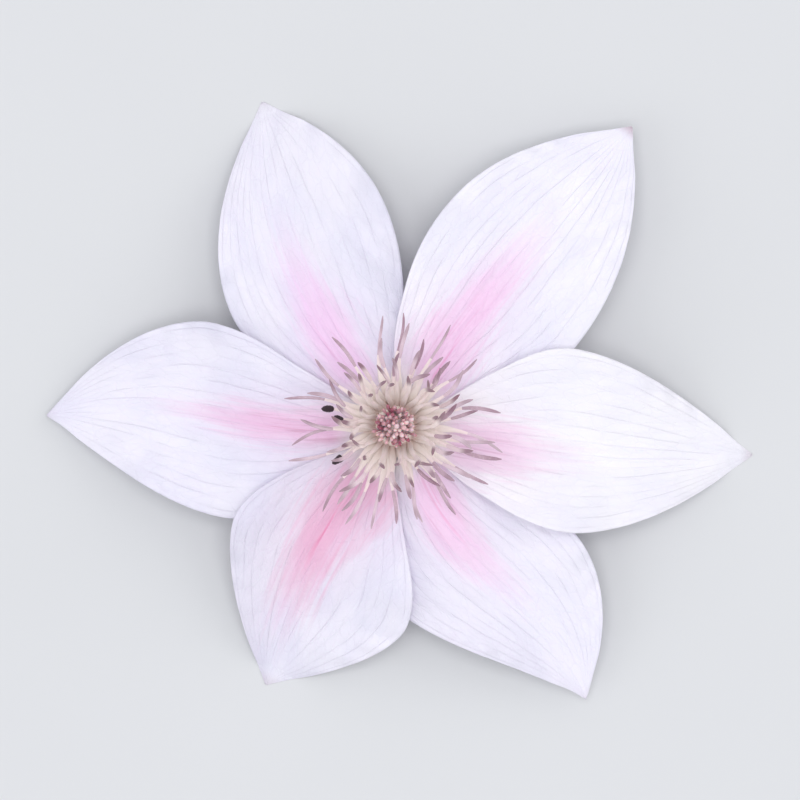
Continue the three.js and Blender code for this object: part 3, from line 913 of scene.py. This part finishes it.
def anther_finish():
    material, tree, shader = finish_of("anther_finish", {"Roughness": 0.6, "Sheen Weight": 0.1})
    share, tone, ripeness = stored(tree, "growth")
    dust = body_noise(tree, 1500, detail=4, roughness=0.7)
    mauve = mix(tree, tone, shade(184, 152, 168), shade(240, 220, 230))
    mauve = mix(tree, fade(tree, dust, 0.48, 0.72, 0, 0.55), mauve, shade(234, 212, 222))
    colour = mix(tree, fade(tree, ripeness, 0.15, 0.5), shade(255, 240, 234), mauve)
    dusky = times(tree, fade(tree, share, 0.8, 0.93), fade(tree, ripeness, 0.3, 0.6, 0.85, 0.4))
    colour = mix(tree, dusky, colour, shade(128, 84, 104))
    colour = mix(tree, fade(tree, ripeness, 0.93, 0.98), colour, shade(52, 38, 46))
    clothe(tree, shader, colour, dust, 0.6, 0.00012)
    return material


ANTHER_FINISH = anther_finish()
print(ANTHER_FINISH.name, "has", len(ANTHER_FINISH.node_tree.nodes), "nodes")

# %% [markdown]
# The ring that the stamens grow from is a low scalloped collar. Most of it is hidden, but it closes the gaps
# between the filaments' feet. It is one outline carried round the axis, its outer face pushed in a little
# between the feet.

# %% Collar of the stamens
RING = dict(inner=2.6, outer=4.3, bottom=0.9, top=4.4)
COLLAR_RINGS, COLLAR_CORNERS = 150, 30
SCALLOP = 0.1


def collar_outline():
    """Points round the collar's section, as (radius, height)."""
    inner, outer, bottom, top = RING["inner"], RING["outer"], RING["bottom"], RING["top"]
    slope = [[outer, between(bottom, top, 0.45)], [between(inner, outer, 0.6), top]]
    outline = np.array([[inner, bottom], [outer, bottom], *slope, [inner, top], [inner, bottom]])
    return along_path(outline, np.linspace(0, 1, COLLAR_CORNERS + 1)[:-1])


def collar():
    """A ring with a straight inner wall, its outer face scalloped by the filaments' feet."""
    loop = collar_outline()
    angle = full_turn(COLLAR_RINGS)
    scallop = SCALLOP * np.abs(np.sin(angle * STAMENS_PER_TIER))
    out = (loop[:, 0] - RING["inner"]) / (RING["outer"] - RING["inner"])
    radius = loop[None, :, 0] - scallop[:, None] * out[None, :]
    height = np.repeat(loop[None, :, 1], COLLAR_RINGS, 0)
    points = np.stack([radius * np.cos(angle)[:, None], radius * np.sin(angle)[:, None], height], -1)
    faces = ring_faces(COLLAR_RINGS, COLLAR_CORNERS, closed=True)
    return points.reshape(-1, 3), [face[:1] + face[:0:-1] for face in faces]


brush = Bundle()
brush.add(*collar(), [0.3, 0.4, 0.0])
print("collar:", RING)

# %% [markdown]
# The three old anthers are the ones that stand nearest to where such anthers show. An old anther is about a
# third as long as a fresh one, thicker and wrinkled, so its share of the line is cut short and its section
# swells in uneven waves. All the other anthers keep the sections given above.

# %% Build the stamens
OLD_ANTHERS = ((-12.2, 4.4), (-10.4, 2.7), (-11.1, -7.0))  # where they show from above, in mm
OLD_LENGTH, OLD_GIRTH = 0.36, (1.75, 1.3, 1.75)  # shares of a fresh anther's length and width
old_middle = ANTHER_START + OLD_LENGTH * (1 - ANTHER_START) / 2
places = [(tier, place) for tier in range(STAMEN_TIERS) for place in range(STAMENS_PER_TIER)]
grown = [stamen_line(tier, place) for tier, place in places]
middles = np.array([along_path(line, np.array([old_middle]))[0] for line, _, _ in grown])
old = []
for spot in OLD_ANTHERS:
    distance = np.linalg.norm(middles[:, :2] - spot, axis=1)
    old.append(int((distance - 0.2 * middles[:, 2]).argmin()))  # of two as near, the higher one
for index, (line, across, inward) in enumerate(grown):
    section = stamen_section(index)
    ripeness = 0.8 - 0.66 * inward + 0.12 * jitter(index, 10)
    if index in old:
        shrunk = ANTHER_START + OLD_LENGTH * (STAMEN_SHARES - ANTHER_START)
        line = along_path(line, np.minimum(STAMEN_SHARES, shrunk))
        girth = OLD_GIRTH[old.index(index)]
        wrinkles = 1 + 0.2 * np.sin(9 * STAMEN_SHARES + index) + 0.06 * np.sin(70 * STAMEN_SHARES)
        section = section * between(1, girth * wrinkles, STAMEN_SHARES > ANTHER_START)[:, None, None]
        ripeness = 1.0
    points, faces = tube(line, across, section)
    share = np.repeat(STAMEN_SHARES, STAMEN_CORNERS)
    tone = 0.5 + 0.5 * jitter(index, 9)
    is_anther = [int(share[list(face)].mean() > ANTHER_START) for face in faces]
    brush.add(points, faces, np.stack(np.broadcast_arrays(share, tone, ripeness), -1), is_anther)
print("old anthers:", old)
brush.make("stamen_brush", [FILAMENT_FINISH, ANTHER_FINISH], "stamens")

# %% [markdown]
# ## Styles
# The middle of the flower is a tight tuft of styles, each growing from its own small ovary. They are thin and
# tapered and spread a little at the top. There are more of them here than in the solid, which only gives the
# tuft's form. A turn of the golden angle from each to the next spreads them evenly, as growth does.

# %% Lines of the styles
GOLDEN_ANGLE = math.pi * (3 - math.sqrt(5))
STYLE_COUNT = 62
STYLE_CORE = dict(radius=2.2, bottom=0.9, top=5.4)
STYLE_HEIGHT, STYLE_SPREAD = 11.8, 3.95
STYLE_SHARES = np.linspace(0, 1, 15)


def outwardness(i):
    """How far out style i stands, from 0 to 1."""
    return math.sqrt((i + 0.5) / STYLE_COUNT)


def style_line(i):
    """The line of one style and the direction across it."""
    outward = outwardness(i)
    out, across = directions(i * GOLDEN_ANGLE)
    root_radius = outward * STYLE_CORE["radius"] * 0.86
    tip_radius = outward * STYLE_SPREAD * (1 + 0.09 * jitter(i, 11))
    tip_height = STYLE_HEIGHT * (1 - 0.14 * outward**2 + 0.08 * jitter(i, 6))
    start = root_radius * out + [0, 0, between(STYLE_CORE["bottom"], STYLE_CORE["top"], 0.5)]
    pull = 1.05 * root_radius * out + [0, 0, between(STYLE_CORE["top"], tip_height, 0.6)]
    end = tip_radius * out + 0.55 * jitter(i, 12) * across + [0, 0, tip_height]
    return pulled_curve(start, pull, end, STYLE_SHARES), across


print("styles:", STYLE_COUNT)

# %% [markdown]
# The styles are silky with hairs. Blender's own hair would be the usual way, but here each hair is a mesh: a
# three-sided spike with a slight bend, the fewest faces that catch light. Blender's own hair would be the
# usual way, but only meshes are exported with the flower.

# %% Helper for hairs
HAIR_BEND = 0.06


def hair(root, tip, radius):
    """Points and faces of one hair."""
    way = tip - root
    across = unit(np.cross(way, [0.3, 0.5, 0.81]))
    line = np.stack([root, root + 0.55 * way + HAIR_BEND * np.linalg.norm(way) * across, tip])
    angle = full_turn(3)
    ring = np.stack([np.cos(angle), np.sin(angle)], -1)
    section = np.stack([ring * radius, ring * radius * 0.7, ring * radius * 0.2])
    return tube(line, across, section)


print("faces of a hair:", len(tube_faces(3, 3)))

# %% [markdown]
# A style is blush below and its tip is burgundy or pale, after its tone: the dark tips make the dots seen
# from above. The third value of growth says what is down, so that hairs are paler than their style.

# %% Finish of the styles


def style_finish():
    look = {"Roughness": 0.45, "Sheen Weight": 0.15, "Subsurface Weight": 0.3, "Subsurface Scale": 0.0008}
    material, tree, shader = finish_of("style_finish", look)
    share, tone, downy = stored(tree, "growth")
    mottle = body_noise(tree, 1300, detail=3)
    tip = mix(tree, tone, shade(158, 82, 104), shade(255, 228, 230))
    colour = mix(tree, fade(tree, share, 0.45, 0.85), shade(240, 214, 212), tip)
    colour = mix(tree, fade(tree, mottle, 0.5, 0.75, 0, 0.4), colour, shade(246, 218, 222))
    colour = mix(tree, downy, colour, shade(244, 228, 226))
    clothe(tree, shader, colour, mottle, 0.4, 0.0001)
    return material


STYLE_FINISH = style_finish()
print(STYLE_FINISH.name, "has", len(STYLE_FINISH.node_tree.nodes), "nodes")

# %% [markdown]
# The tuft stands round a core that closes the view between the styles. The tips are darker towards the rim of
# the tuft and in four clumps, where the darkest dots of the bloom are. One seeded sequence of random numbers
# places the hairs, first these and later the stalk's.

# %% Build the styles
CORE_TIP = 9.4  # the core reaches higher than the solid's, among the styles
CORE_CORNERS, STYLE_CORNERS = 24, 8
DARK_CLUMPS = ((-1.0, 2.7), (-2.8, 0.1), (-0.6, 0.9), (2.1, -3.2))  # where the darkest tips show, in mm
CLUMP_REACH = 1.1
HAIRS_PER_STYLE, STYLE_HAIR_RADIUS = 13, 0.04
tuft = Bundle()
core_shares = np.linspace(0, 1, 12)
core_heights = between(STYLE_CORE["bottom"], CORE_TIP, core_shares)
core_line = np.stack([0 * core_shares, 0 * core_shares, core_heights], -1)
core_radii = STYLE_CORE["radius"] * np.interp(core_shares, [0, 0.4, 0.85, 1], [1, 1, 0.95, 0.3])
core_points, core_faces = tube(core_line, np.array([1.0, 0, 0]), oval(core_radii, core_radii, CORE_CORNERS))
tuft.add(core_points, core_faces, [0.2, 0.5, 0.2])
draw = np.random.default_rng(11)
for i in range(STYLE_COUNT):
    line, across = style_line(i)
    girth = 1 + 0.25 * jitter(i, 16)
    radii = girth * np.interp(STYLE_SHARES, [0, 0.4, 0.8, 0.93, 1], [0.33, 0.27, 0.3, 0.4, 0.2])
    points, faces = tube(line, across, oval(radii, radii, STYLE_CORNERS))
    clump = max(ridge(np.linalg.norm(line[-1, :2] - place), CLUMP_REACH) for place in DARK_CLUMPS)
    tone = 1.2 - 0.85 * outwardness(i) + 0.35 * jitter(i, 13) - 0.7 * clump
    tone = min(max(tone, 0), 1)
    share = np.repeat(STYLE_SHARES, STYLE_CORNERS)
    tuft.add(points, faces, np.stack(np.broadcast_arrays(share, tone, 0), -1))
    for _ in range(HAIRS_PER_STYLE):
        at = draw.uniform(0.4, 0.92)
        foot = np.array([np.interp(at, STYLE_SHARES, line[:, axis]) for axis in range(3)])
        angle = draw.uniform(0, 2 * math.pi)
        way = np.array([math.cos(angle) * 0.55, math.sin(angle) * 0.55, 0.75])
        points, faces = hair(foot + way * 0.1, foot + way * draw.uniform(0.7, 1.3), STYLE_HAIR_RADIUS)
        tuft.add(points, faces, [at, tone, 0.8])
tuft.make("style_tuft", [STYLE_FINISH], "styles")

# %% [markdown]
# ## Stalk and receptacle
# The stalk drops from the receptacle, bends and lies along the surface to its cut. Its line is the solid's
# own: a smooth curve through the same points. Its pace is eased by the distances between them, so that it
# makes no loop where two points are close together.

# %% Line of the stalk
STALK_RADIUS = 1.15
LIE = STALK_RADIUS + SURFACE  # height of the middle line where the stalk lies down
STALK_ROUTE = np.array([
    [0, 0, -4], [0.4, 0, -7], [2.9, 0.1, -10.7], [7.4, 0.4, LIE + 0.75], [13, 0.9, LIE],
    [22, 1.4, LIE], [34, 0.6, LIE], [47, -2.2, LIE],
])
ROUTE_STEPS = 60


def smooth_route(knots):
    """A curve through all the knots, as close points. Its pace is eased by the roots of the gaps."""
    padded = np.vstack([2 * knots[0] - knots[1], knots, 2 * knots[-1] - knots[-2]])
    x = np.linspace(0, 1, ROUTE_STEPS, endpoint=False)[:, None]
    pieces = []
    for a, b, c, d in zip(padded, padded[1:], padded[2:], padded[3:]):
        gaps = [max(math.sqrt(np.linalg.norm(q - p)), 1e-6) for p, q in ((a, b), (b, c), (c, d))]
        leave = ((b - a) / gaps[0] - (c - a) / (gaps[0] + gaps[1]) + (c - b) / gaps[1]) * gaps[1]
        meet = ((c - b) / gaps[1] - (d - b) / (gaps[1] + gaps[2]) + (d - c) / gaps[2]) * gaps[1]
        second, third = 3 * (c - b) - 2 * leave - meet, 2 * (b - c) + leave + meet
        pieces.append(b + leave * x + second * x**2 + third * x**3)
    return np.vstack([*pieces, knots[-1:]])


route = smooth_route(STALK_ROUTE)
print("stalk length, mm:", round(float(np.linalg.norm(np.diff(route, axis=0), axis=1).sum()), 1))

# %% [markdown]
# The stalk is green, with painted shade darkening its grooves, and flushed purple in streaks towards the
# flower. Its down is paler. The three values of growth are here the share of the length, how deep in a groove a
# point is, and how pale it is.

# %% Finish of the stalk


def stalk_finish():
    look = {"Sheen Weight": 0.15, "Subsurface Weight": 0.08, "Subsurface Scale": 0.0006}
    material, tree, shader = finish_of("stalk_finish", look)
    share, groove, pale = stored(tree, "growth")
    mottle = body_noise(tree, 420, detail=4)
    streak = noise(tree, place_of(tree, share, groove, 1.0, (16, 5, 1)), detail=2)
    colour = mix(tree, mottle, shade(134, 148, 92), shade(160, 170, 118))
    # painted shade: the deeper in a groove, the darker the green
    colour = mix(tree, times(tree, groove, 0.5), colour, shade(104, 122, 66))
    flush = times(tree, fade(tree, share, 0.42, 0.05, 0, 0.7), fade(tree, streak, 0.35, 0.65))
    colour = mix(tree, flush, colour, shade(132, 92, 96))
    colour = mix(tree, pale, colour, shade(216, 220, 180))
    clothe(tree, shader, colour, maths(tree, "ADD", mottle, streak), 0.5, 0.00015)
    tree.links.new(fade(tree, mottle, 0.3, 0.7, 0.42, 0.6), shader.inputs["Roughness"])
    return material


STALK_FINISH = stalk_finish()
print(STALK_FINISH.name, "has", len(STALK_FINISH.node_tree.nodes), "nodes")

# %% [markdown]
# Six ridges run along the stalk, and its girth swells a little here and there. The last ring is slanted for
# the cut. Where the stalk lies down, its underside is pressed flat, so that it rests as a real one does.

# %% Build the stalk
STALK_RINGS, STALK_CORNERS, RIDGES = 150, 48, 6
STALK_DIRECTION = math.radians(-57)
CUT_SLANT = 0.8
stalk = Bundle()
shares = np.linspace(0, 1, STALK_RINGS)
line = along_path(route, shares)
angle = full_turn(STALK_CORNERS)
ridge_wave = 0.5 + 0.5 * np.cos(RIDGES * angle)[None, :]
swell = 1 + 0.03 * np.sin(shares * 31)[:, None] + 0.05 * ridge(shares - 0.02, 0.06)[:, None]
radius = STALK_RADIUS * swell * (0.92 + 0.1 * ridge_wave)
section = np.stack([radius * np.cos(angle), radius * np.sin(angle)], -1)
points, faces = tube(line, np.array([0.0, 1, 0]), section)
slant = CUT_SLANT * (points[-STALK_CORNERS:, 2] - line[-1, 2])
points[-STALK_CORNERS:] += -slant[:, None] * unit(line[-1] - line[-2])
points[:, 2] = np.maximum(points[:, 2], SURFACE)
share_at = np.repeat(shares, STALK_CORNERS)
# the middle value, how deep in a groove a corner is, darkens the stalk there as painted shade
growth = np.stack([share_at, np.tile(1 - ridge_wave[0], STALK_RINGS), 0 * share_at], -1)
stalk.add(turned(points, STALK_DIRECTION), faces, growth)
print("stalk ends at height", round(float(points[-STALK_CORNERS:, 2].mean() - SURFACE), 2))

# %% [markdown]
# The receptacle is the swollen end of the stalk, so both are one body. It is a turned shape: a profile of
# radius and height carried round the axis, with shallow ribs where it widens under the sepals.

# %% Receptacle
PROFILE = np.array([
    [0.02, -6.0], [1.03, -6.0], [1.5, -5.0], [1.75, -4.1], [2.1, -3.2], [2.9, -2.3], [3.36, -1.82],
    [3.95, -1.25], [4.2, -0.84], [4.2, 0.1], [4.05, 0.45], [3.7, 0.6], [2.0, 0.6], [0.02, 0.6],
])
CUP_CORNERS, CUP_RIBS, CUP_RIB_DEPTH = 72, 12, 0.035
RIBS_HEIGHT, RIBS_REACH = -2.4, 2.0  # where the ribs are deepest and how far up and down they run
turns = full_turn(CUP_CORNERS)
rib_wave = (0.5 + 0.5 * np.cos(CUP_RIBS * turns))[None, :]
rib_share = smoothstep(-np.abs(PROFILE[:, 1:] - RIBS_HEIGHT), -RIBS_REACH, 0)
cup_rib = 1 - CUP_RIB_DEPTH * rib_wave * rib_share
cup_radius = PROFILE[:, :1] * cup_rib
cup_heights = PROFILE[:, 1:] + 0 * cup_rib
cup = np.stack([cup_radius * np.cos(turns), cup_radius * np.sin(turns), cup_heights], -1)
stalk.add(cup.reshape(-1, 3), tube_faces(len(PROFILE), CUP_CORNERS), [0.03, 0.2, 0.0])
print("receptacle:", 2 * PROFILE[:, 0].max(), "mm across")

# %% [markdown]
# A fine down of short hairs stands on the stalk. Each hair starts at a random corner and points away from the
# middle line. A hair that would reach into the surface is left out.

# %% Down of the stalk
STALK_HAIRS, STALK_HAIR_RADIUS = 900, 0.028
HAIR_CLEARANCE, HAIR_SINK = 0.06, 0.06  # from the surface, and how deep a hair is rooted, in mm
hairs = 0
for _ in range(STALK_HAIRS):
    at, around = draw.uniform(0.0, 0.985), draw.uniform(0, 2 * math.pi)
    ring = int(at * (STALK_RINGS - 1))
    corner = int(around / 2 / math.pi * STALK_CORNERS)
    foot = points[ring * STALK_CORNERS + corner]
    outward = unit(foot - line[ring])
    tip = foot + outward * draw.uniform(0.35, 0.7) + 0.25 * draw.uniform(-1, 1, 3)
    if min(foot[2], tip[2]) < SURFACE + HAIR_CLEARANCE:
        continue
    hair_points, hair_faces = hair(foot - HAIR_SINK * outward, tip, STALK_HAIR_RADIUS)
    stalk.add(turned(hair_points, STALK_DIRECTION), hair_faces, [at, 0.0, 0.75])
    hairs += 1
print("hairs on the stalk:", hairs)
stalk.make("ridged_stalk", [STALK_FINISH], "stalk")
